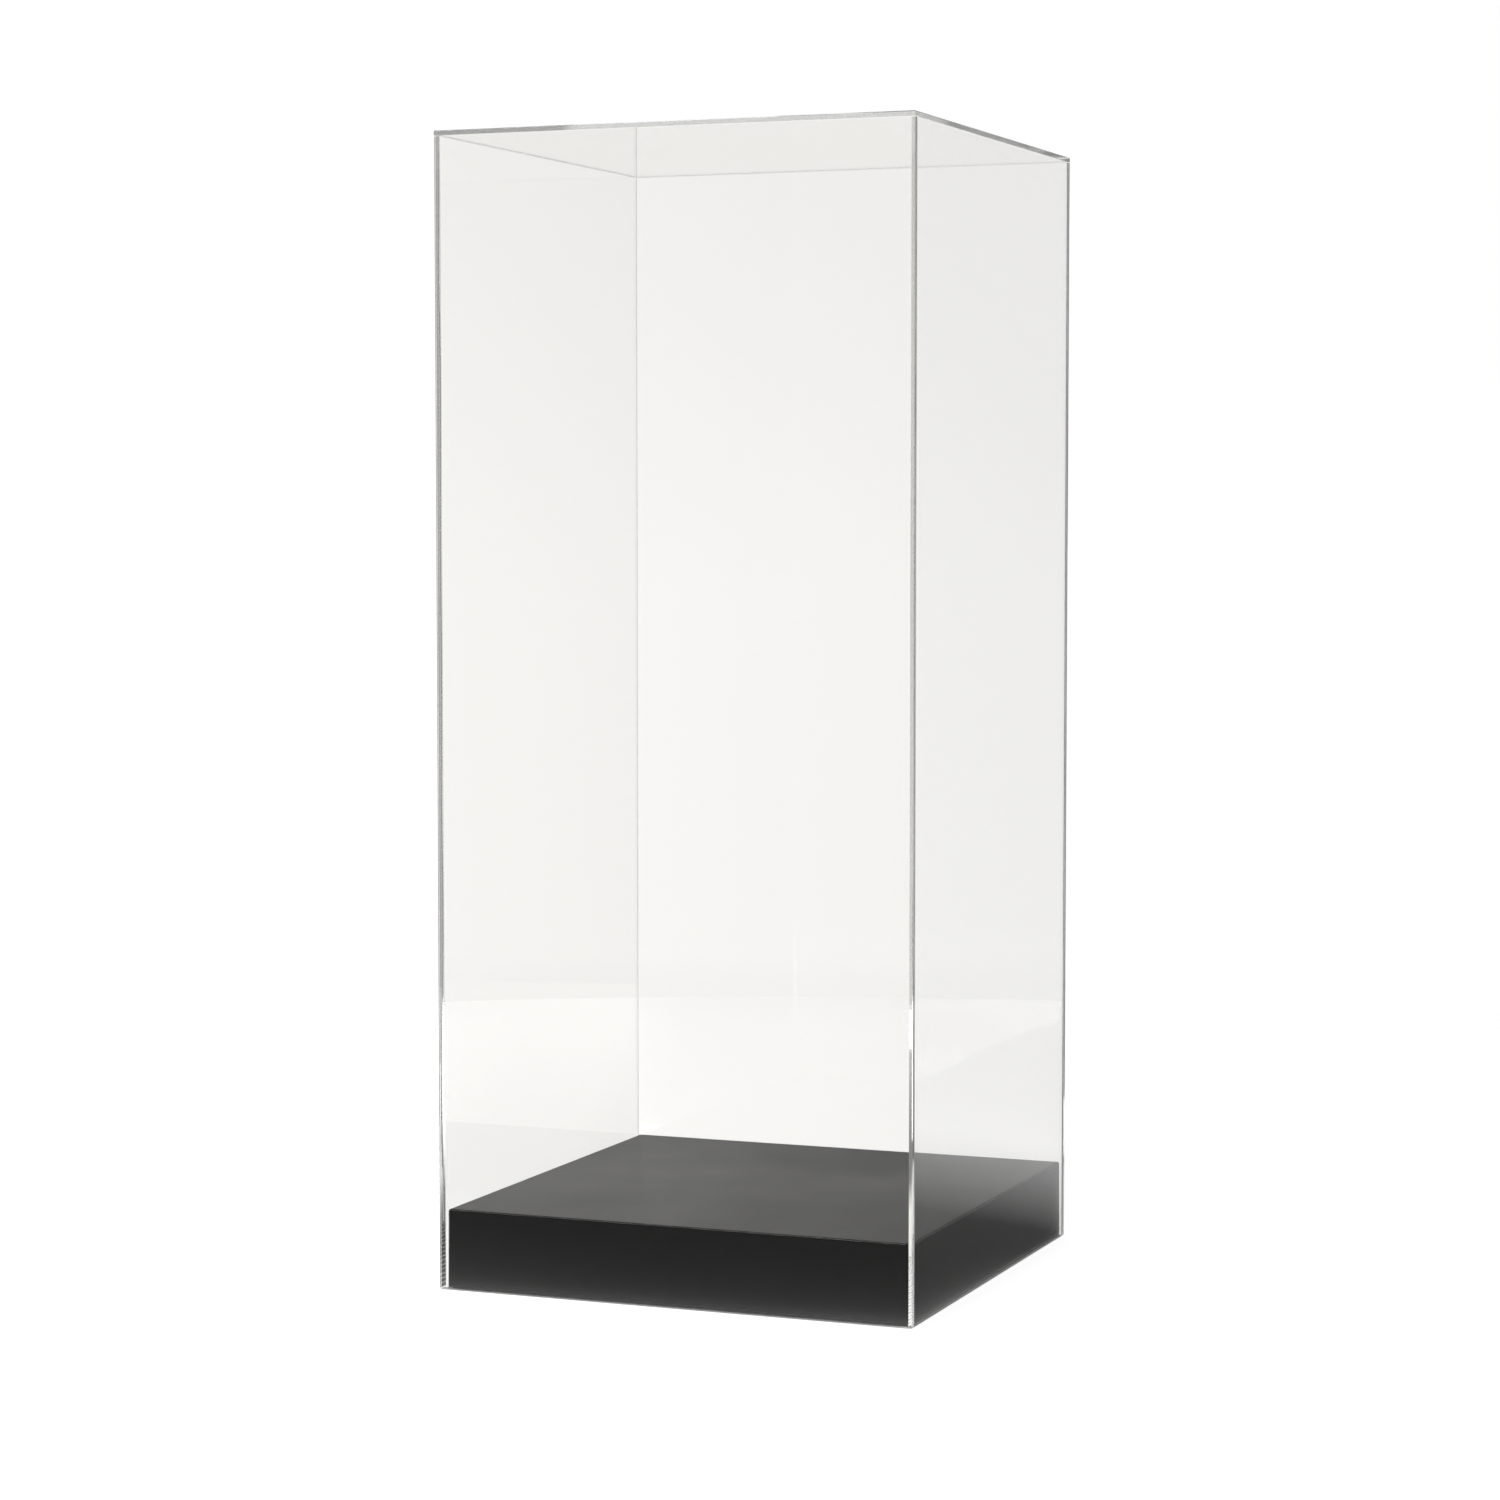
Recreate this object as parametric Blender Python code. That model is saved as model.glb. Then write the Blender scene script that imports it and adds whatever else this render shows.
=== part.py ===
"""Acrylic display cube: a clear five-sided cover that stands over a low black plinth.

Metres, +Z up. The origin is the middle of the footprint, on the surface the object stands on, and the front
faces -Y. The five clear sheets are glued into one cover, which lifts straight up off the plinth.
"""

import math
from collections import namedtuple

import bmesh
import bpy
from mathutils import Vector

# Whole object
FOOTPRINT = 0.200  # outer width and depth of the cover
OVERALL_HEIGHT = 0.460

# Clear cover
SHEET = 0.002  # thickness of each clear sheet
ARRIS = 0.0003  # edge break on the clear sheets' free edges

# Black plinth
PLINTH_HEIGHT = 0.032
SIDE_PLAY = 0.00075  # space between the plinth and the cover's walls, on each side
PANEL = 0.003  # thickness of the black sheet
EDGE_RADIUS = 0.001  # rounding of the plinth's outer edges
EDGE_STEPS = 3
SKIRT_LIFT = 0.0005  # the skirts stop this far above the ground, so that the feet carry the plinth
BLOCK_SIDE = 0.018  # square glue block inside each corner

# Rubber feet
FOOT_RADIUS = 0.006
FOOT_HEIGHT = 0.003
FOOT_ROUND = 0.0006  # rounding of each foot's lower rim
FOOT_ROUND_STEPS = 2
FOOT_SIDES = 40

# Joint line between two glued pieces
GLUE_LINE = 0.0003

TOP_UNDERSIDE = OVERALL_HEIGHT - SHEET
PLINTH_SIDE = FOOTPRINT - 2 * (SHEET + SIDE_PLAY)
SKIRT_TOP = PLINTH_HEIGHT - PANEL - GLUE_LINE
HOLLOW_SIDE = PLINTH_SIDE - 2 * PANEL

# The turn about Z that brings a sheet facing -Y to each side
SIDES = {"front": 0.0, "right": math.pi / 2, "back": math.pi, "left": -math.pi / 2}
CORNERS = {
    "front_left": (-1, -1),
    "front_right": (1, -1),
    "back_right": (1, 1),
    "back_left": (-1, 1),
}
NEAR = 1e-6  # how close to a plane a point lies to count as being in it

Finish = namedtuple("Finish", "colour roughness transmission ior")
CLEAR_ACRYLIC = Finish((0.93, 0.95, 0.94, 1.0), 0.02, 1.0, 1.49)
BLACK_ACRYLIC = Finish((0.012, 0.012, 0.013, 1.0), 0.32, 0.0, 1.49)
BLACK_BLOCK = Finish((0.020, 0.020, 0.021, 1.0), 0.60, 0.0, 1.49)
BLACK_RUBBER = Finish((0.024, 0.024, 0.025, 1.0), 0.80, 0.0, 1.52)

# A set of four uprights round a square: their heights, sheet thickness, and the rounding of their outer corners
Ring = namedtuple("Ring", "noun side thickness bottom top corner_radius corner_steps finish")
WALLS = Ring("panel", FOOTPRINT, SHEET, 0.0, TOP_UNDERSIDE - GLUE_LINE, ARRIS, 1, CLEAR_ACRYLIC)
SKIRTS = Ring("skirt", PLINTH_SIDE, PANEL, SKIRT_LIFT, SKIRT_TOP, EDGE_RADIUS, EDGE_STEPS, BLACK_ACRYLIC)


def clear_scene():
    for old in list(bpy.data.objects):
        bpy.data.objects.remove(old)


def add_frame(name):
    """An empty that carries one rigid body. It stands on the line along which the cover lifts."""
    frame = bpy.data.objects.new(name, None)
    bpy.context.scene.collection.objects.link(frame)
    return frame


def add_finish(part, finish):
    """Gives a part a material of its own."""
    material = bpy.data.materials.new(part.name)
    material.use_nodes = True
    shader = material.node_tree.nodes["Principled BSDF"]
    shader.inputs["Base Color"].default_value = finish.colour
    shader.inputs["Metallic"].default_value = 0.0
    shader.inputs["Roughness"].default_value = finish.roughness
    shader.inputs["Transmission Weight"].default_value = finish.transmission
    shader.inputs["IOR"].default_value = finish.ior
    part.data.materials.append(material)


def add_part(name, bm, location, turn, frame, finish):
    """Turns a bmesh into a named part at its place."""
    bmesh.ops.recalc_face_normals(bm, faces=bm.faces)
    mesh = bpy.data.meshes.new(name)
    bm.to_mesh(mesh)
    bm.free()
    part = bpy.data.objects.new(name, mesh)
    bpy.context.scene.collection.objects.link(part)
    part.parent = frame
    part.location = location
    part.rotation_euler = (0.0, 0.0, turn)
    add_finish(part, finish)
    return part


def block_mesh(width, depth, height):
    """A rectangular block about its own centre."""
    bm = bmesh.new()
    bmesh.ops.create_cube(bm, size=1.0)
    bmesh.ops.scale(bm, vec=Vector((width, depth, height)), verts=bm.verts)
    return bm


def ease_edges(bm, wanted, width, steps):
    """Breaks or rounds the sharp edges whose two end points pass the test."""
    picked = [edge for edge in bm.edges if wanted(edge.verts[0].co, edge.verts[1].co)]
    bmesh.ops.bevel(bm, geom=picked, offset=width, segments=steps, profile=0.5, affect="EDGES")


def add_upright(place, turn, ring, frame):
    """One upright sheet of a ring, made facing -Y and then turned to its side.

    The front and back sheets run the full width and have eased outer corners. The left and right sheets are
    held between them. Every sheet has eased edges along its foot.
    """
    full_width = place in ("front", "back")
    length = ring.side if full_width else ring.side - 2 * (ring.thickness + GLUE_LINE)
    height = ring.top - ring.bottom
    bm = block_mesh(length, ring.thickness, height)

    foot = NEAR - height / 2
    ease_edges(bm, lambda a, b: a.z < foot and b.z < foot and a.y * b.y > 0, ARRIS, 1)
    if full_width:
        face = NEAR - ring.thickness / 2
        ease_edges(
            bm,
            lambda a, b: a.y < face and b.y < face and abs(a.z - b.z) > height / 2,
            ring.corner_radius,
            ring.corner_steps,
        )

    reach = (ring.side - ring.thickness) / 2
    location = (math.sin(turn) * reach, -math.cos(turn) * reach, ring.bottom + height / 2)
    add_part(f"{place}_{ring.noun}", bm, location, turn, frame, ring.finish)


def build_cover():
    """Four walls, and a top sheet that lies on all of them."""
    cover = add_frame("cover_frame")
    for place, turn in SIDES.items():
        add_upright(place, turn, WALLS, cover)

    bm = block_mesh(FOOTPRINT, FOOTPRINT, SHEET)
    ease_edges(bm, lambda a, b: a.z > 0 and b.z > 0, ARRIS, 1)
    add_part("top_panel", bm, (0.0, 0.0, TOP_UNDERSIDE + SHEET / 2), 0.0, cover, CLEAR_ACRYLIC)


def build_plinth():
    """A hollow black box, open below: a deck on four skirts."""
    plinth = add_frame("plinth_frame")
    for place, turn in SIDES.items():
        add_upright(place, turn, SKIRTS, plinth)

    bm = block_mesh(PLINTH_SIDE, PLINTH_SIDE, PANEL)
    ease_edges(bm, lambda a, b: a.z > 0 or b.z > 0, EDGE_RADIUS, EDGE_STEPS)
    add_part("deck_plate", bm, (0.0, 0.0, PLINTH_HEIGHT - PANEL / 2), 0.0, plinth, BLACK_ACRYLIC)
    for corner, signs in CORNERS.items():
        add_corner(corner, signs, plinth)


def add_corner(corner, signs, plinth):
    """A glue block that squares one corner of the plinth, and the foot stuck under it."""
    bottom = FOOT_HEIGHT + GLUE_LINE
    height = SKIRT_TOP - bottom
    offset = HOLLOW_SIDE / 2 - GLUE_LINE - BLOCK_SIDE / 2
    x, y = (sign * offset for sign in signs)
    bm = block_mesh(BLOCK_SIDE, BLOCK_SIDE, height)
    add_part(f"corner_block_{corner}", bm, (x, y, bottom + height / 2), 0.0, plinth, BLACK_BLOCK)

    bm = bmesh.new()
    bmesh.ops.create_cone(
        bm,
        cap_ends=True,
        segments=FOOT_SIDES,
        radius1=FOOT_RADIUS,
        radius2=FOOT_RADIUS,
        depth=FOOT_HEIGHT,
    )
    ease_edges(bm, lambda a, b: a.z < 0 and b.z < 0, FOOT_ROUND, FOOT_ROUND_STEPS)
    foot = add_part(f"foot_{corner}", bm, (x, y, FOOT_HEIGHT / 2), 0.0, plinth, BLACK_RUBBER)
    foot.data.shade_smooth()
    foot.data.set_sharp_from_angle(angle=math.radians(40))


clear_scene()
build_cover()
build_plinth()
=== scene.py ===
"""Looks for the acrylic display cube: a clear cover over a satin black plinth, in a pale studio.

Metres, +Z up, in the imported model's own frame. The front faces -Y.
"""

import math

import bmesh
import bpy
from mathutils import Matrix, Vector


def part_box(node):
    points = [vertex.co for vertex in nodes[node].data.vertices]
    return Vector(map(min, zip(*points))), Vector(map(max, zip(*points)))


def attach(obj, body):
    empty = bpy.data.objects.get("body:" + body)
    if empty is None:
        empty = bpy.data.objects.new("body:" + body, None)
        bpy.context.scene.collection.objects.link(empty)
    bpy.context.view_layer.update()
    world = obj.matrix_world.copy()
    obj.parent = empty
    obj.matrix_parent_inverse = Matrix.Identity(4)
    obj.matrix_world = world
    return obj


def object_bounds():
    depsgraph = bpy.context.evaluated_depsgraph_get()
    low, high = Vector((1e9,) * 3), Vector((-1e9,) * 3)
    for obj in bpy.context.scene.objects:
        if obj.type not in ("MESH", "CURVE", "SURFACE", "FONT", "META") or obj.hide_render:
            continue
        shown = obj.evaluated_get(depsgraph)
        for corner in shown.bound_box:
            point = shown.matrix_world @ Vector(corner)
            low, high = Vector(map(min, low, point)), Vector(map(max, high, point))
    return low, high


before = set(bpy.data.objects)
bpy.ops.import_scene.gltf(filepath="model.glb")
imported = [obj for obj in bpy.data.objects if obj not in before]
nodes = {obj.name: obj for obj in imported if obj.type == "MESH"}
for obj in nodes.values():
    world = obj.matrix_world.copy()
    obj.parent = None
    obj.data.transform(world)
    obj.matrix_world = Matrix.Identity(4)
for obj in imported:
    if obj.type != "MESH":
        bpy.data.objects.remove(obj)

cad_low, cad_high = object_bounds()

# Camera, measured from the near bottom corner of the cover
CAMERA_AZIMUTH = math.radians(21.59)
CAMERA_PITCH = math.radians(3.62)  # down
CAMERA_SIDE = 0.0617
CAMERA_REACH = 1.4003
CAMERA_HEIGHT = 0.3094
CAMERA_LENS = 89.30
SENSOR = 36.0

UP = (0.0, 0.0, 1.0)
BEHIND = (-math.sin(CAMERA_AZIMUTH), math.cos(CAMERA_AZIMUTH), 0.0)
ACROSS = (math.cos(CAMERA_AZIMUTH), math.sin(CAMERA_AZIMUTH), 0.0)

# Studio. Mirrored rays see a room that is dim in front of the object and bright behind it.
WHITE = (1.0, 1.0, 1.0)
FLOOR_RADIUS = 0.85
FLOOR_SIDES = 128
FLOOR_DROP = 0.0002  # keeps the table just clear of what stands on it
FLOOR_WHITE = 0.30
FLOOR_GLOW = 0.74
DIM = 0.09
ROOM_BRIGHT = 1.05
ROOM_FALL = 1.5  # how fast the room falls off from bright to dim
ROOM_HORIZON = 1.0
TABLE_LEFT = 0.36  # what the left wall mirrors
TABLE_RIGHT = 0.80  # what the right wall mirrors
SOFTBOX_PLACE = (-0.6, -0.5, 1.6)
SOFTBOX_TARGET = (0.0, 0.0, 0.1)
SOFTBOX_SIDE = 1.0
SOFTBOX_POWER = 10.0
BOUNCES = 160
CLEAR_BOUNCES = 32

# Plinth, as in part.py
EDGE_RADIUS = 0.001
EDGE_STEPS = 3

# Cover, as in part.py
ARRIS = 0.0003
WALL_INSIDE = -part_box("front_panel")[1].y  # half the clear width between the walls
SKIN = 0.00005  # a face lies within this of its plane
WALL_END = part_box("left_panel")[1].y - SKIN

# Clear acrylic. The top sheet's edge is sanded, and the walls' edges are polished.
CLEAR = (0.997, 0.993, 0.981)
CLEAR_IOR = 1.49
CLEAR_BODY = (0.62, 0.625, 0.60)
CLEAR_DENSITY = 3.0
CLEAR_SHADOW = (0.96, 0.96, 0.955)
SAWN = (0.95, 0.95, 0.945)
CUT_ROUGHNESS = {"X": 0.03, "Y": 0.03, "Z": 0.16}
END_SHADE_SHARE = 0.5  # the share of light that gets through a cut face of the front and back sheets: a dark tint, painted shade on the cube's corners
RIPPLE_DEPTH = 0.00004
MARK_DEPTH = 0.000008

# Black acrylic
SATIN_DARK = (0.004, 0.004, 0.0042)
SATIN_PALE = (0.0065, 0.0065, 0.0067)
SATIN_GRAIN = 0.00001

# Hidden pieces
BLOCK_BLACK = (0.020, 0.020, 0.021)
RUBBER_BLACK = (0.024, 0.024, 0.025)


# ---------------------------------------------------------------- node helpers


class Graph:
    """Short names for building one material or world node tree."""

    def __init__(self, tree):
        self.tree = tree
        tree.nodes.clear()

    def node(self, kind, **settings):
        made = self.tree.nodes.new(kind)
        for name, value in settings.items():
            setattr(made, name, value)
        return made

    def feed(self, socket, value):
        if isinstance(value, bpy.types.NodeSocket):
            self.tree.links.new(value, socket)
        else:
            socket.default_value = value

    def maths(self, operation, *values):
        made = self.node("ShaderNodeMath", operation=operation)
        for socket, value in zip(made.inputs, values):
            self.feed(socket, value)
        return made.outputs[0]

    def product(self, first, *others):
        for other in others:
            first = self.maths("MULTIPLY", first, other)
        return first

    def largest(self, first, *others):
        for other in others:
            first = self.maths("MAXIMUM", first, other)
        return first

    def vector(self, operation, *values):
        made = self.node("ShaderNodeVectorMath", operation=operation)
        for socket, value in zip(made.inputs, values):
            self.feed(socket, value)
        return made.outputs["Value" if operation == "DOT_PRODUCT" else "Vector"]

    def axes(self, vector):
        """The X, Y and Z sockets of a vector."""
        made = self.node("ShaderNodeSeparateXYZ")
        self.feed(made.inputs[0], vector)
        return made.outputs

    def noise(self, vector, scale, detail=2.0, roughness=0.5):
        made = self.node("ShaderNodeTexNoise")
        self.feed(made.inputs["Vector"], vector)
        made.inputs["Scale"].default_value = scale
        made.inputs["Detail"].default_value = detail
        made.inputs["Roughness"].default_value = roughness
        return made.outputs["Fac"]

    def span(self, value, low, high, to_low, to_high):
        """Maps low..high to to_low..to_high, held at the ends."""
        made = self.node("ShaderNodeMapRange")
        self.feed(made.inputs["Value"], value)
        made.inputs["From Min"].default_value = low
        made.inputs["From Max"].default_value = high
        made.inputs["To Min"].default_value = to_low
        made.inputs["To Max"].default_value = to_high
        return made.outputs["Result"]

    def fade(self, distance, length, strength):
        """Falls from strength at a distance of 0, by a factor e over each length."""
        steps = self.maths("MAXIMUM", self.product(distance, 1.0 / length), 0.0)
        return self.product(self.maths("EXPONENT", self.product(steps, -1.0)), strength)

    def blend(self, factor, first, second):
        """A colour between two others."""
        made = self.node("ShaderNodeMix", data_type="RGBA")
        self.feed(made.inputs["Factor"], factor)
        self.feed(made.inputs["A"], (*first, 1.0))
        self.feed(made.inputs["B"], (*second, 1.0))
        return made.outputs["Result"]

    def bump(self, height, depth, normal=None):
        made = self.node("ShaderNodeBump")
        made.inputs["Distance"].default_value = depth
        self.feed(made.inputs["Height"], height)
        if normal is not None:
            self.feed(made.inputs["Normal"], normal)
        return made.outputs["Normal"]

    def shader(self, kind, colour, **values):
        """A plain shader node. Its other inputs are given by name, with _ for a space."""
        made = self.node(kind)
        made.inputs["Base Color" if "Base Color" in made.inputs else "Color"].default_value = (*colour, 1.0)
        for name, value in values.items():
            self.feed(made.inputs[name.replace("_", " ")], value)
        return made

    def mix(self, factor, first, second):
        """One shader where factor is 0, and another where it is 1."""
        made = self.node("ShaderNodeMixShader")
        self.feed(made.inputs[0], factor)
        self.feed(made.inputs[1], first)
        self.feed(made.inputs[2], second)
        return made.outputs[0]


def new_material(name):
    material = bpy.data.materials.new(name)
    material.use_nodes = True
    return material, Graph(material.node_tree)


# ---------------------------------------------------------------- materials


def clear_joint(g, at, thin_axis):
    """1 on the two faces of the back left joint, which is glued so well that light passes straight on."""
    if thin_axis == "X":
        return g.product(g.maths("GREATER_THAN", at["Y"], WALL_END), g.maths("LESS_THAN", at["X"], 0.0))
    back = g.maths("GREATER_THAN", at["Y"], 0.0)
    inner = g.product(back, g.maths("LESS_THAN", at["Y"], WALL_INSIDE + SKIN))
    return g.product(inner, g.maths("LESS_THAN", at["X"], -WALL_INSIDE))


def clear_acrylic(thin_axis):
    """Cast acrylic sheet. Its broad faces look along thin_axis, and its other faces are cut and polished."""
    material, g = new_material(f"clear_acrylic_{thin_axis}")
    place = g.node("ShaderNodeTexCoord")
    thin = Vector([axis == thin_axis for axis in "XYZ"])
    facing = g.maths("ABSOLUTE", g.vector("DOT_PRODUCT", place.outputs["Normal"], thin))
    cut = g.span(facing, 0.35, 0.5, 1.0, 0.0)

    # The broad faces have the slow ripple of cast sheet. Cuts have fine marks that run through the thickness.
    ripple = g.noise(place.outputs["Object"], 9.0, 1.0)
    across = g.vector("MULTIPLY", place.outputs["Object"], Vector((1.0, 1.0, 1.0)) - 0.94 * thin)
    marks = g.product(g.noise(across, 1100.0, 3.0), cut)
    normal = g.bump(marks, MARK_DEPTH, g.bump(ripple, RIPPLE_DEPTH))

    # The ends of the front and back sheets are tinted dark, so less light gets in through them: painted shade
    # that darkens the cube's corner edges
    end_shade_tint = [END_SHADE_SHARE * part for part in CLEAR] if thin_axis == "Y" else CLEAR
    acrylic = g.shader(
        "ShaderNodeBsdfPrincipled",
        CLEAR,
        Base_Color=g.blend(cut, CLEAR, end_shade_tint),
        IOR=CLEAR_IOR,
        Transmission_Weight=1.0,
        Roughness=g.span(cut, 0.0, 1.0, 0.0, CUT_ROUGHNESS[thin_axis]),
        Normal=normal,
    )
    clear_way = g.shader("ShaderNodeBsdfTransparent", CLEAR_SHADOW)
    path = g.node("ShaderNodeLightPath")
    lit_through = g.largest(path.outputs["Is Shadow Ray"], path.outputs["Is Diffuse Ray"])
    sheet = g.mix(lit_through, acrylic.outputs[0], clear_way.outputs[0])

    # The walls stand on sawn feet, which let in the light of the table
    if thin_axis != "Z":
        at = g.axes(place.outputs["Object"])
        sawn = g.shader("ShaderNodeBsdfTranslucent", SAWN)
        sheet = g.mix(g.maths("LESS_THAN", at["Z"], ARRIS), sheet, sawn.outputs[0])
        straight = g.shader("ShaderNodeBsdfTransparent", WHITE)
        sheet = g.mix(clear_joint(g, at, thin_axis), sheet, straight.outputs[0])

    out = g.node("ShaderNodeOutputMaterial")
    g.feed(out.inputs["Surface"], sheet)
    absorb = g.shader("ShaderNodeVolumeAbsorption", CLEAR_BODY, Density=CLEAR_DENSITY)
    g.feed(out.inputs["Volume"], absorb.outputs[0])
    return material


def black_acrylic():
    """Satin black sheet: a fine grain, a slightly uneven sheen, hairline rubs, and burnished edges."""
    material, g = new_material("black_acrylic")
    place = g.node("ShaderNodeTexCoord")
    at = place.outputs["Object"]
    grain = g.noise(at, 2600.0, 2.0)
    cloud = g.noise(at, 14.0, 3.0)
    hairs = g.noise(g.vector("MULTIPLY", at, (1.0, 0.04, 1.0)), 1500.0, 2.0, 0.7)
    rubs = g.product(g.span(hairs, 0.66, 0.74, 0.0, 1.0), g.span(cloud, 0.45, 0.65, 0.0, 1.0))
    normal = g.axes(g.vector("ABSOLUTE", place.outputs["Normal"]))
    flat = g.largest(normal["X"], normal["Y"], normal["Z"])

    rough = g.span(cloud, 0.3, 0.7, 0.28, 0.34)
    rough = g.maths("SUBTRACT", rough, g.span(flat, 0.85, 0.99, 0.08, 0.0))
    worn = g.maths("ADD", g.product(cloud, 0.7), g.product(rubs, 0.3))
    shader = g.shader(
        "ShaderNodeBsdfPrincipled",
        SATIN_DARK,
        IOR=CLEAR_IOR,
        Specular_IOR_Level=0.33,
        Roughness=g.maths("ADD", rough, g.product(rubs, 0.06)),
        Normal=g.bump(grain, SATIN_GRAIN),
        Base_Color=g.blend(worn, SATIN_DARK, SATIN_PALE),
    )
    out = g.node("ShaderNodeOutputMaterial")
    g.feed(out.inputs["Surface"], shader.outputs[0])
    return material


def matte_black(name, colour, roughness, scale, depth, run=(1.0, 1.0, 1.0)):
    """Plain black plastic or rubber with a sawn or moulded grain. run stretches the grain."""
    material, g = new_material(name)
    place = g.node("ShaderNodeTexCoord").outputs["Object"]
    grain = g.noise(g.vector("MULTIPLY", place, run), scale, 3.0)
    shader = g.shader(
        "ShaderNodeBsdfPrincipled",
        colour,
        Base_Color=g.blend(grain, [0.6 * part for part in colour], colour),
        Roughness=g.span(grain, 0.3, 0.7, roughness, roughness + 0.1),
        Normal=g.bump(grain, depth),
    )
    out = g.node("ShaderNodeOutputMaterial")
    g.feed(out.inputs["Surface"], shader.outputs[0])
    return material


def dress(names, material):
    for name in names:
        for slot in nodes[name].material_slots:
            slot.material = material


# ---------------------------------------------------------------- added pieces


def rounded_square(half, radius, steps):
    """The outline of a square with rounded corners, anticlockwise."""
    outline = []
    for corner in range(4):
        for step in range(steps + 1):
            turn = math.pi / 2 * (corner + step / steps)
            middle = math.pi / 4 + math.pi / 2 * corner
            x = math.copysign(half - radius, math.cos(middle)) + radius * math.cos(turn)
            y = math.copysign(half - radius, math.sin(middle)) + radius * math.sin(turn)
            outline.append((x, y))
    return outline


def add_ring(bm, outline, width, low, high):
    """A flat ring with the given outline, width wide and from low to high."""
    half = max(x for x, y in outline)
    shrink = 1.0 - width / half
    loops = []
    for scale, z in ((1.0, low), (1.0, high), (shrink, high), (shrink, low)):
        loops.append([bm.verts.new((x * scale, y * scale, z)) for x, y in outline])
    count = len(outline)
    for first, second in zip(loops, loops[1:] + loops[:1]):
        for i in range(count):
            j = (i + 1) % count
            bm.faces.new((first[i], first[j], second[j], second[i]))


def add_block(bm, low, high):
    """A block between two opposite corners."""
    size = high - low
    made = bmesh.ops.create_cube(bm, size=1.0)["verts"]
    bmesh.ops.scale(bm, vec=size, verts=made)
    bmesh.ops.translate(bm, vec=(low + high) / 2, verts=made)


def add_glue_lines(material):
    """Black cement that fills the plinth's joints flush: under the deck, and down the four corners."""
    deck_low, deck_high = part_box("deck_plate")
    front_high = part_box("front_skirt")[1]
    right_low, right_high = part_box("right_skirt")
    bm = bmesh.new()
    outline = rounded_square(deck_high.x, EDGE_RADIUS, EDGE_STEPS)
    add_ring(bm, outline, right_high.x - right_low.x, front_high.z, deck_low.z)
    for side in (-1, 1):
        x_ends = sorted((side * right_low.x, side * right_high.x))
        for end in (-1, 1):
            y_ends = sorted((end * right_high.y, -end * front_high.y))
            low = Vector((x_ends[0], y_ends[0], right_low.z))
            high = Vector((x_ends[1], y_ends[1], right_high.z))
            add_block(bm, low, high)
    bmesh.ops.recalc_face_normals(bm, faces=bm.faces)
    mesh = bpy.data.meshes.new("plinth_glue_lines")
    bm.to_mesh(mesh)
    bm.free()
    mesh.materials.append(material)
    piece = bpy.data.objects.new("plinth_glue_lines", mesh)
    bpy.context.scene.collection.objects.link(piece)
    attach(piece, "plinth")


# ---------------------------------------------------------------- studio


def mirrored(g):
    """1 for a ray that has been mirrored on its way, 0 for one that came straight or only through glass."""
    path = g.node("ShaderNodeLightPath")
    return g.maths("MINIMUM", path.outputs["Glossy Depth"], 1.0)


def brightness(g, direction):
    """How bright the room is for mirrored rays that leave along a direction: dim in front, bright behind."""
    toward = g.maths("MAXIMUM", g.vector("DOT_PRODUCT", direction, BEHIND), 0.0)
    return g.maths("ADD", g.product(g.maths("POWER", toward, ROOM_FALL), ROOM_BRIGHT - DIM), DIM)


def table_seen(g, place, beside, away):
    """The table's own light where it is seen directly or through glass: none under the object, white outside.

    It is past white everywhere, so its slow changes show only through the clear walls.
    """
    # Painted light and shade: no glow under the object, a faint fall towards the rim, extra glow within a few
    # centimetres of the object, and lighter to the left and darker to the right across the view
    outside = g.span(beside, -0.0006, 0.0, 0.0, 1.0)
    rim = g.span(away, FLOOR_RADIUS - 0.15, FLOOR_RADIUS, 1.0, 0.97)
    sideways = g.vector("DOT_PRODUCT", place, (1.0, math.tan(CAMERA_AZIMUTH), 0.0))
    glow = g.maths("ADD", g.fade(beside, 0.03, 0.10), FLOOR_GLOW)
    glow = g.maths("ADD", glow, g.span(sideways, -0.10, -0.05, 0.06, 0.0))
    glow = g.maths("SUBTRACT", glow, g.span(sideways, -0.05, 0.14, 0.0, 0.05))
    return g.product(outside, rim, glow)


def table_behind(g, place, away):
    """The table at large for mirrored rays: dim near the object, and like the room farther off."""
    sideways = g.vector("DOT_PRODUCT", place, (1.0, -math.tan(CAMERA_AZIMUTH), 0.0))
    level = g.span(sideways, -0.05, 0.05, TABLE_LEFT, TABLE_RIGHT)
    level = g.product(level, g.span(g.vector("DOT_PRODUCT", place, BEHIND), 0.035, 0.23, 0.0, 1.0))
    near = g.maths("MAXIMUM", level, DIM)
    far = g.product(brightness(g, g.vector("NORMALIZE", place)), ROOM_HORIZON)
    farness = g.span(away, 0.35, 0.80, 0.0, 1.0)
    return g.maths("ADD", g.product(near, g.maths("SUBTRACT", 1.0, farness)), g.product(far, farness))


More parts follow.
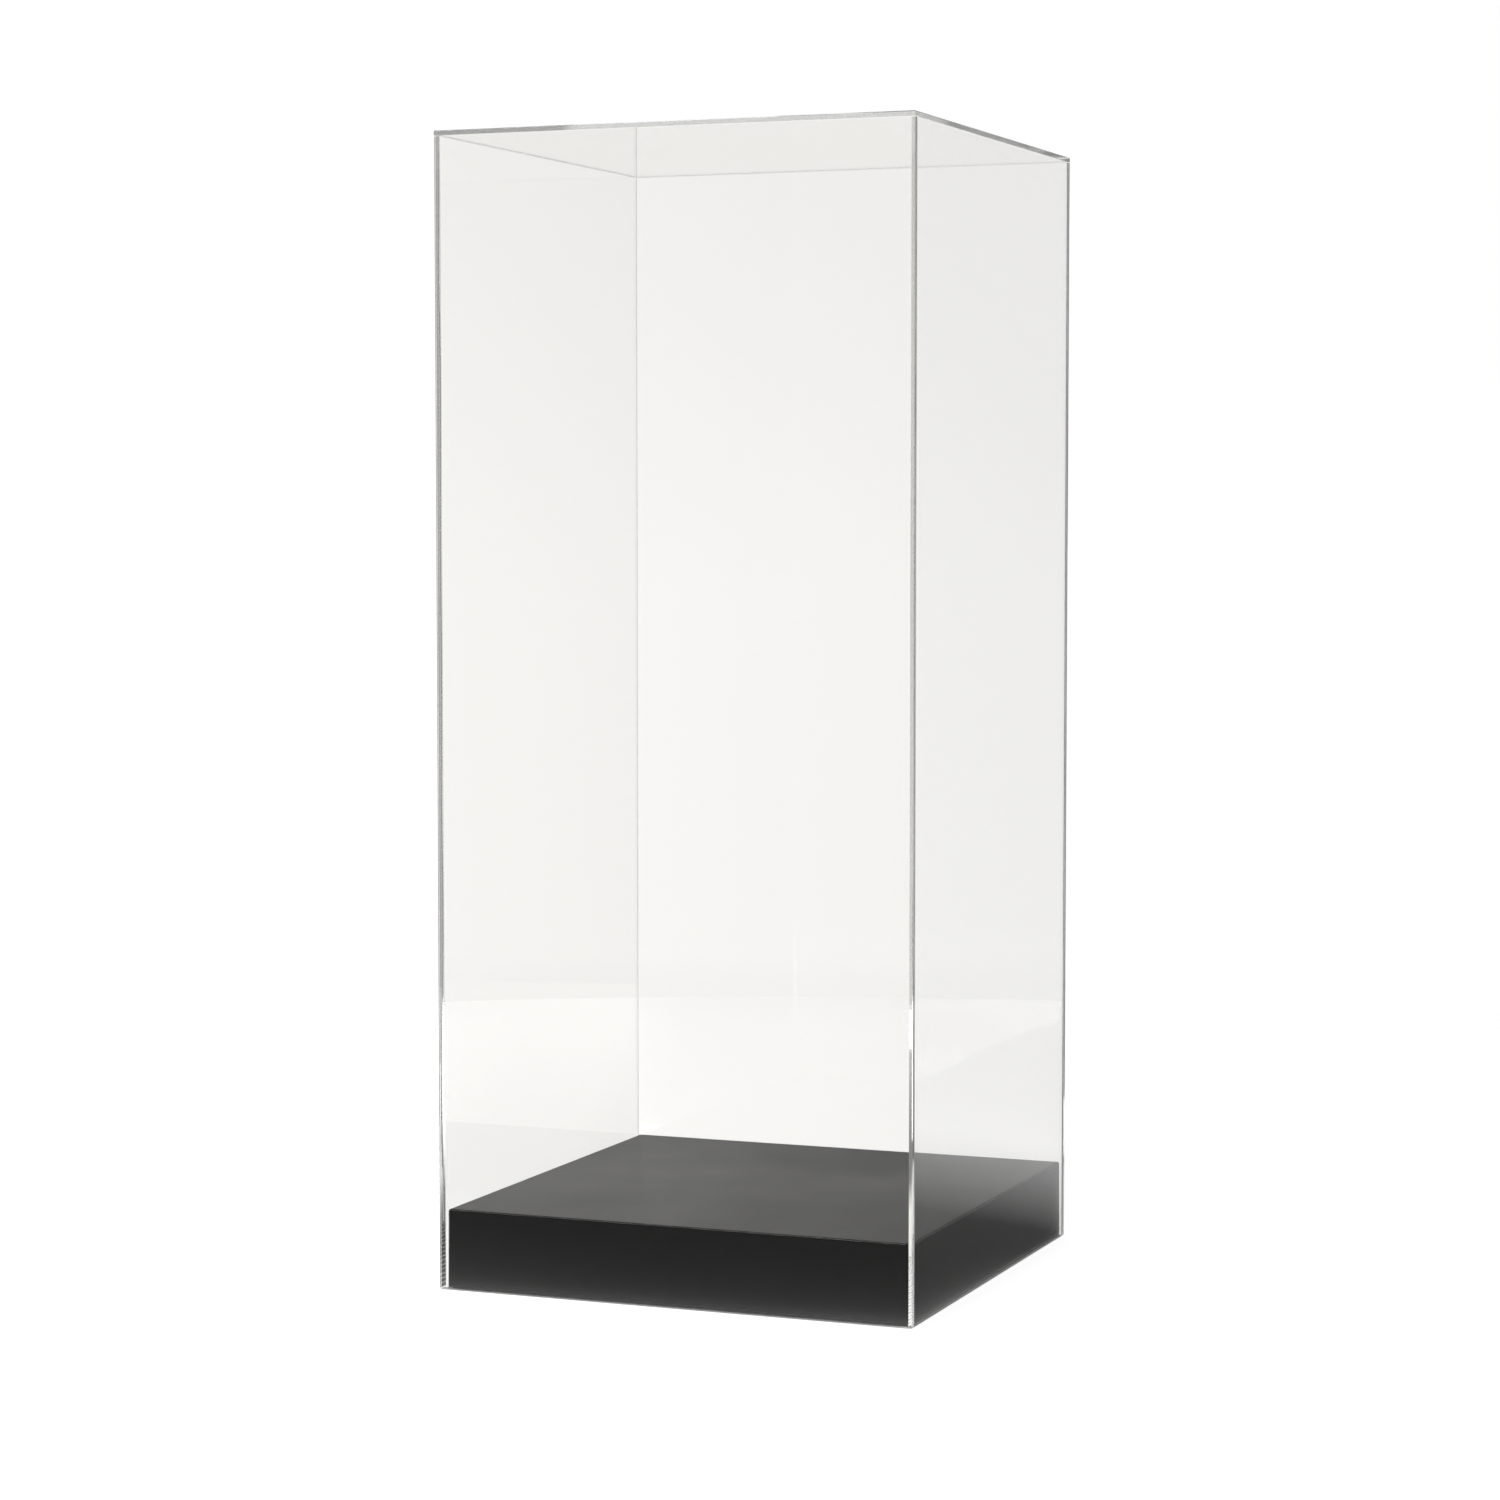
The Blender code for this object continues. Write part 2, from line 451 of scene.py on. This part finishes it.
def table_pools(g, at, off, beside):
    """Patches of light on the table that only mirrored rays see.

    Gives the soft ones, which add to the table at large, and then the bright ones, which cover it.
    """
    edge = cad_high.x

    # In front: the plinth's front face mirrors it, lighter towards its lower edge and its two ends
    ahead = g.maths("SUBTRACT", g.product(at["Y"], -1.0), cad_high.y)
    front = g.maths("ADD", g.fade(ahead, 0.060, 0.25), g.fade(ahead, 0.010, 0.55))
    reach = g.product(g.span(ahead, -0.003, 0.0, 0.0, 1.0), g.span(at["X"], edge, edge + 0.015, 1.0, 0.0))
    ends = g.largest(g.span(at["X"], -0.13, -0.05, 1.4, 1.06), g.span(at["X"], 0.03, 0.10, 1.06, 1.35))
    front = g.product(front, reach, ends)

    # Right: a narrow line along the near half of the right face
    right = g.product(
        g.fade(g.maths("SUBTRACT", at["X"], edge), 0.008, 0.2),
        g.span(at["X"], edge - 0.002, edge, 0.0, 1.0),
        g.span(at["Y"], -0.060, 0.060, 1.0, 0.0),
    )

    # Behind, left and right under the walls: these light the walls' edges
    behind = g.product(
        g.span(at["Y"], edge - 0.002, edge + 0.002, 0.0, 1.0),
        g.span(at["Y"], 0.20, 0.30, 1.0, 0.0),
        g.span(at["X"], -0.09, -0.02, 0.25, 1.3),
        g.span(at["X"], edge - 0.002, edge + 0.002, 1.0, 0.0),
    )
    left = g.product(
        g.span(at["X"], -edge - 0.004, -edge, 2.5, 0.0),
        g.span(at["Y"], -edge - 0.004, -edge, 0.0, 1.0),
        g.largest(g.span(at["Y"], 0.08, edge, 1.0, 0.0), g.span(at["Y"], 0.15, 0.35, 0.0, 1.0)),
    )
    under = g.product(
        g.span(off, edge - 0.0025, edge - 0.002, 0.0, 1.0),
        g.span(beside, 0.0, 0.001, 1.0, 0.0),
        g.span(at["X"], -0.097, -0.090, 0.10, 1.25),
    )
    return g.maths("ADD", right, front), g.largest(behind, left, under)


def add_floor():
    """A round white table top that glows past white, with painted shade under the object and painted pools of
    light that only mirrored rays see.
    """
    bm = bmesh.new()
    bmesh.ops.create_circle(bm, cap_ends=True, segments=FLOOR_SIDES, radius=FLOOR_RADIUS)
    mesh = bpy.data.meshes.new("floor")
    bm.to_mesh(mesh)
    bm.free()
    floor = bpy.data.objects.new("floor", mesh)
    floor.location = (0.0, 0.0, -FLOOR_DROP)
    bpy.context.scene.collection.objects.link(floor)

    material, g = new_material("floor_white")
    place = g.node("ShaderNodeTexCoord").outputs["Object"]
    at = g.axes(place)
    off = g.largest(g.maths("ABSOLUTE", at["X"]), g.maths("ABSOLUTE", at["Y"]))
    beside = g.maths("SUBTRACT", off, cad_high.x)
    length = g.node("ShaderNodeVectorMath", operation="LENGTH")
    g.feed(length.inputs[0], place)
    away = length.outputs["Value"]

    diffuse = g.shader("ShaderNodeBsdfDiffuse", (FLOOR_WHITE,) * 3)
    glow = g.shader("ShaderNodeEmission", WHITE, Strength=table_seen(g, place, beside, away))
    lit = g.node("ShaderNodeAddShader")
    g.feed(lit.inputs[0], diffuse.outputs[0])
    g.feed(lit.inputs[1], glow.outputs[0])

    soft, bright = table_pools(g, at, off, beside)
    level = g.largest(g.maths("ADD", table_behind(g, place, away), soft), bright)
    studio = g.shader("ShaderNodeEmission", WHITE, Strength=level)
    out = g.node("ShaderNodeOutputMaterial")
    g.feed(out.inputs["Surface"], g.mix(mirrored(g), lit.outputs[0], studio.outputs[0]))
    mesh.materials.append(material)


def room_level(g, height, side):
    """The room's brightness at a height, as a share. It falls off upwards, and to the right of the middle."""
    level = g.product(g.span(height, -0.12, 0.08, ROOM_HORIZON, 0.92), g.span(height, 0.10, 0.40, 1.0, 0.3))
    upper = g.product(g.span(height, 0.08, 0.16, 0.0, 1.0), g.span(side, -0.03, 0.05, 1.12, 0.66))
    middle = g.maths("ADD", g.span(height, 0.08, 0.16, 0.93, 0.0), upper)
    off_side = g.span(g.maths("ABSOLUTE", side), 0.10, 0.30, 0.0, 1.0)
    middle = g.product(middle, g.maths("SUBTRACT", 1.0, off_side))
    return g.product(level, g.maths("ADD", middle, g.product(off_side, 0.94)))


def add_world():
    """White all round for what is seen directly or through glass, and the studio for what is mirrored."""
    world = bpy.data.worlds.new("studio")
    bpy.context.scene.world = world
    world.use_nodes = True
    g = Graph(world.node_tree)
    direction = g.node("ShaderNodeTexCoord").outputs["Generated"]
    height = g.vector("DOT_PRODUCT", direction, UP)
    side = g.vector("DOT_PRODUCT", direction, ACROSS)

    # A little darker in a band just over the table's far edge, and towards the right
    band = g.span(height, -0.125, -0.118, 0.975, 1.0)
    sideways = g.span(side, -0.08, 0.08, 1.045, 0.965)
    direct = g.maths("MAXIMUM", g.product(g.span(height, -0.02, 0.10, 1.07, 1.0), band, sideways), 1.0)

    room = g.product(brightness(g, direction), room_level(g, height, side))
    seen = mirrored(g)
    strength = g.maths("ADD", g.product(room, seen), g.product(direct, g.maths("SUBTRACT", 1.0, seen)))
    background = g.shader("ShaderNodeBackground", WHITE, Strength=strength)
    out = g.node("ShaderNodeOutputWorld")
    g.feed(out.inputs["Surface"], background.outputs[0])


def add_softbox(location, target, side, power):
    lamp = bpy.data.lights.new("softbox", "AREA")
    lamp.size = side
    lamp.energy = power
    light = bpy.data.objects.new("softbox", lamp)
    light.location = location
    light.rotation_mode = "QUATERNION"
    light.rotation_quaternion = (Vector(target) - Vector(location)).to_track_quat("-Z", "Y")
    bpy.context.scene.collection.objects.link(light)


def add_camera():
    """Stands right of the front, a little above the middle, and looks slightly down."""
    corner = Vector((cad_high.x, cad_low.y, cad_low.z))
    across = Vector(ACROSS)
    forward = Vector(BEHIND)
    up = Vector(UP)
    data = bpy.data.cameras.new("camera")
    data.lens = CAMERA_LENS
    data.sensor_width = SENSOR
    camera = bpy.data.objects.new("camera", data)
    camera.location = corner - across * CAMERA_SIDE - forward * CAMERA_REACH + up * CAMERA_HEIGHT
    look = forward * math.cos(CAMERA_PITCH) - up * math.sin(CAMERA_PITCH)
    camera.rotation_mode = "QUATERNION"
    camera.rotation_quaternion = look.to_track_quat("-Z", "Y")
    bpy.context.scene.collection.objects.link(camera)
    bpy.context.scene.camera = camera


# ---------------------------------------------------------------- the scene


satin = black_acrylic()
dress(["front_panel", "back_panel"], clear_acrylic("Y"))
dress(["left_panel", "right_panel"], clear_acrylic("X"))
dress(["top_panel"], clear_acrylic("Z"))
dress([name for name in nodes if name.endswith("_skirt")] + ["deck_plate"], satin)
dress(
    [name for name in nodes if name.startswith("corner_block")],
    matte_black("glue_block", BLOCK_BLACK, 0.55, 900.0, 0.00003, run=(1.0, 1.0, 0.1)),
)
dress(
    [name for name in nodes if name.startswith("foot")],
    matte_black("rubber", RUBBER_BLACK, 0.75, 1800.0, 0.00002),
)
add_glue_lines(satin)

add_floor()
add_world()
add_softbox(SOFTBOX_PLACE, SOFTBOX_TARGET, SOFTBOX_SIDE, SOFTBOX_POWER)
add_camera()

# Light runs the whole length of a clear sheet by mirroring inside it, so it needs many bounces
scene = bpy.context.scene
scene.view_settings.view_transform = "Standard"
scene.cycles.max_bounces = BOUNCES
scene.cycles.transmission_bounces = BOUNCES
scene.cycles.glossy_bounces = BOUNCES
scene.cycles.transparent_max_bounces = CLEAR_BOUNCES
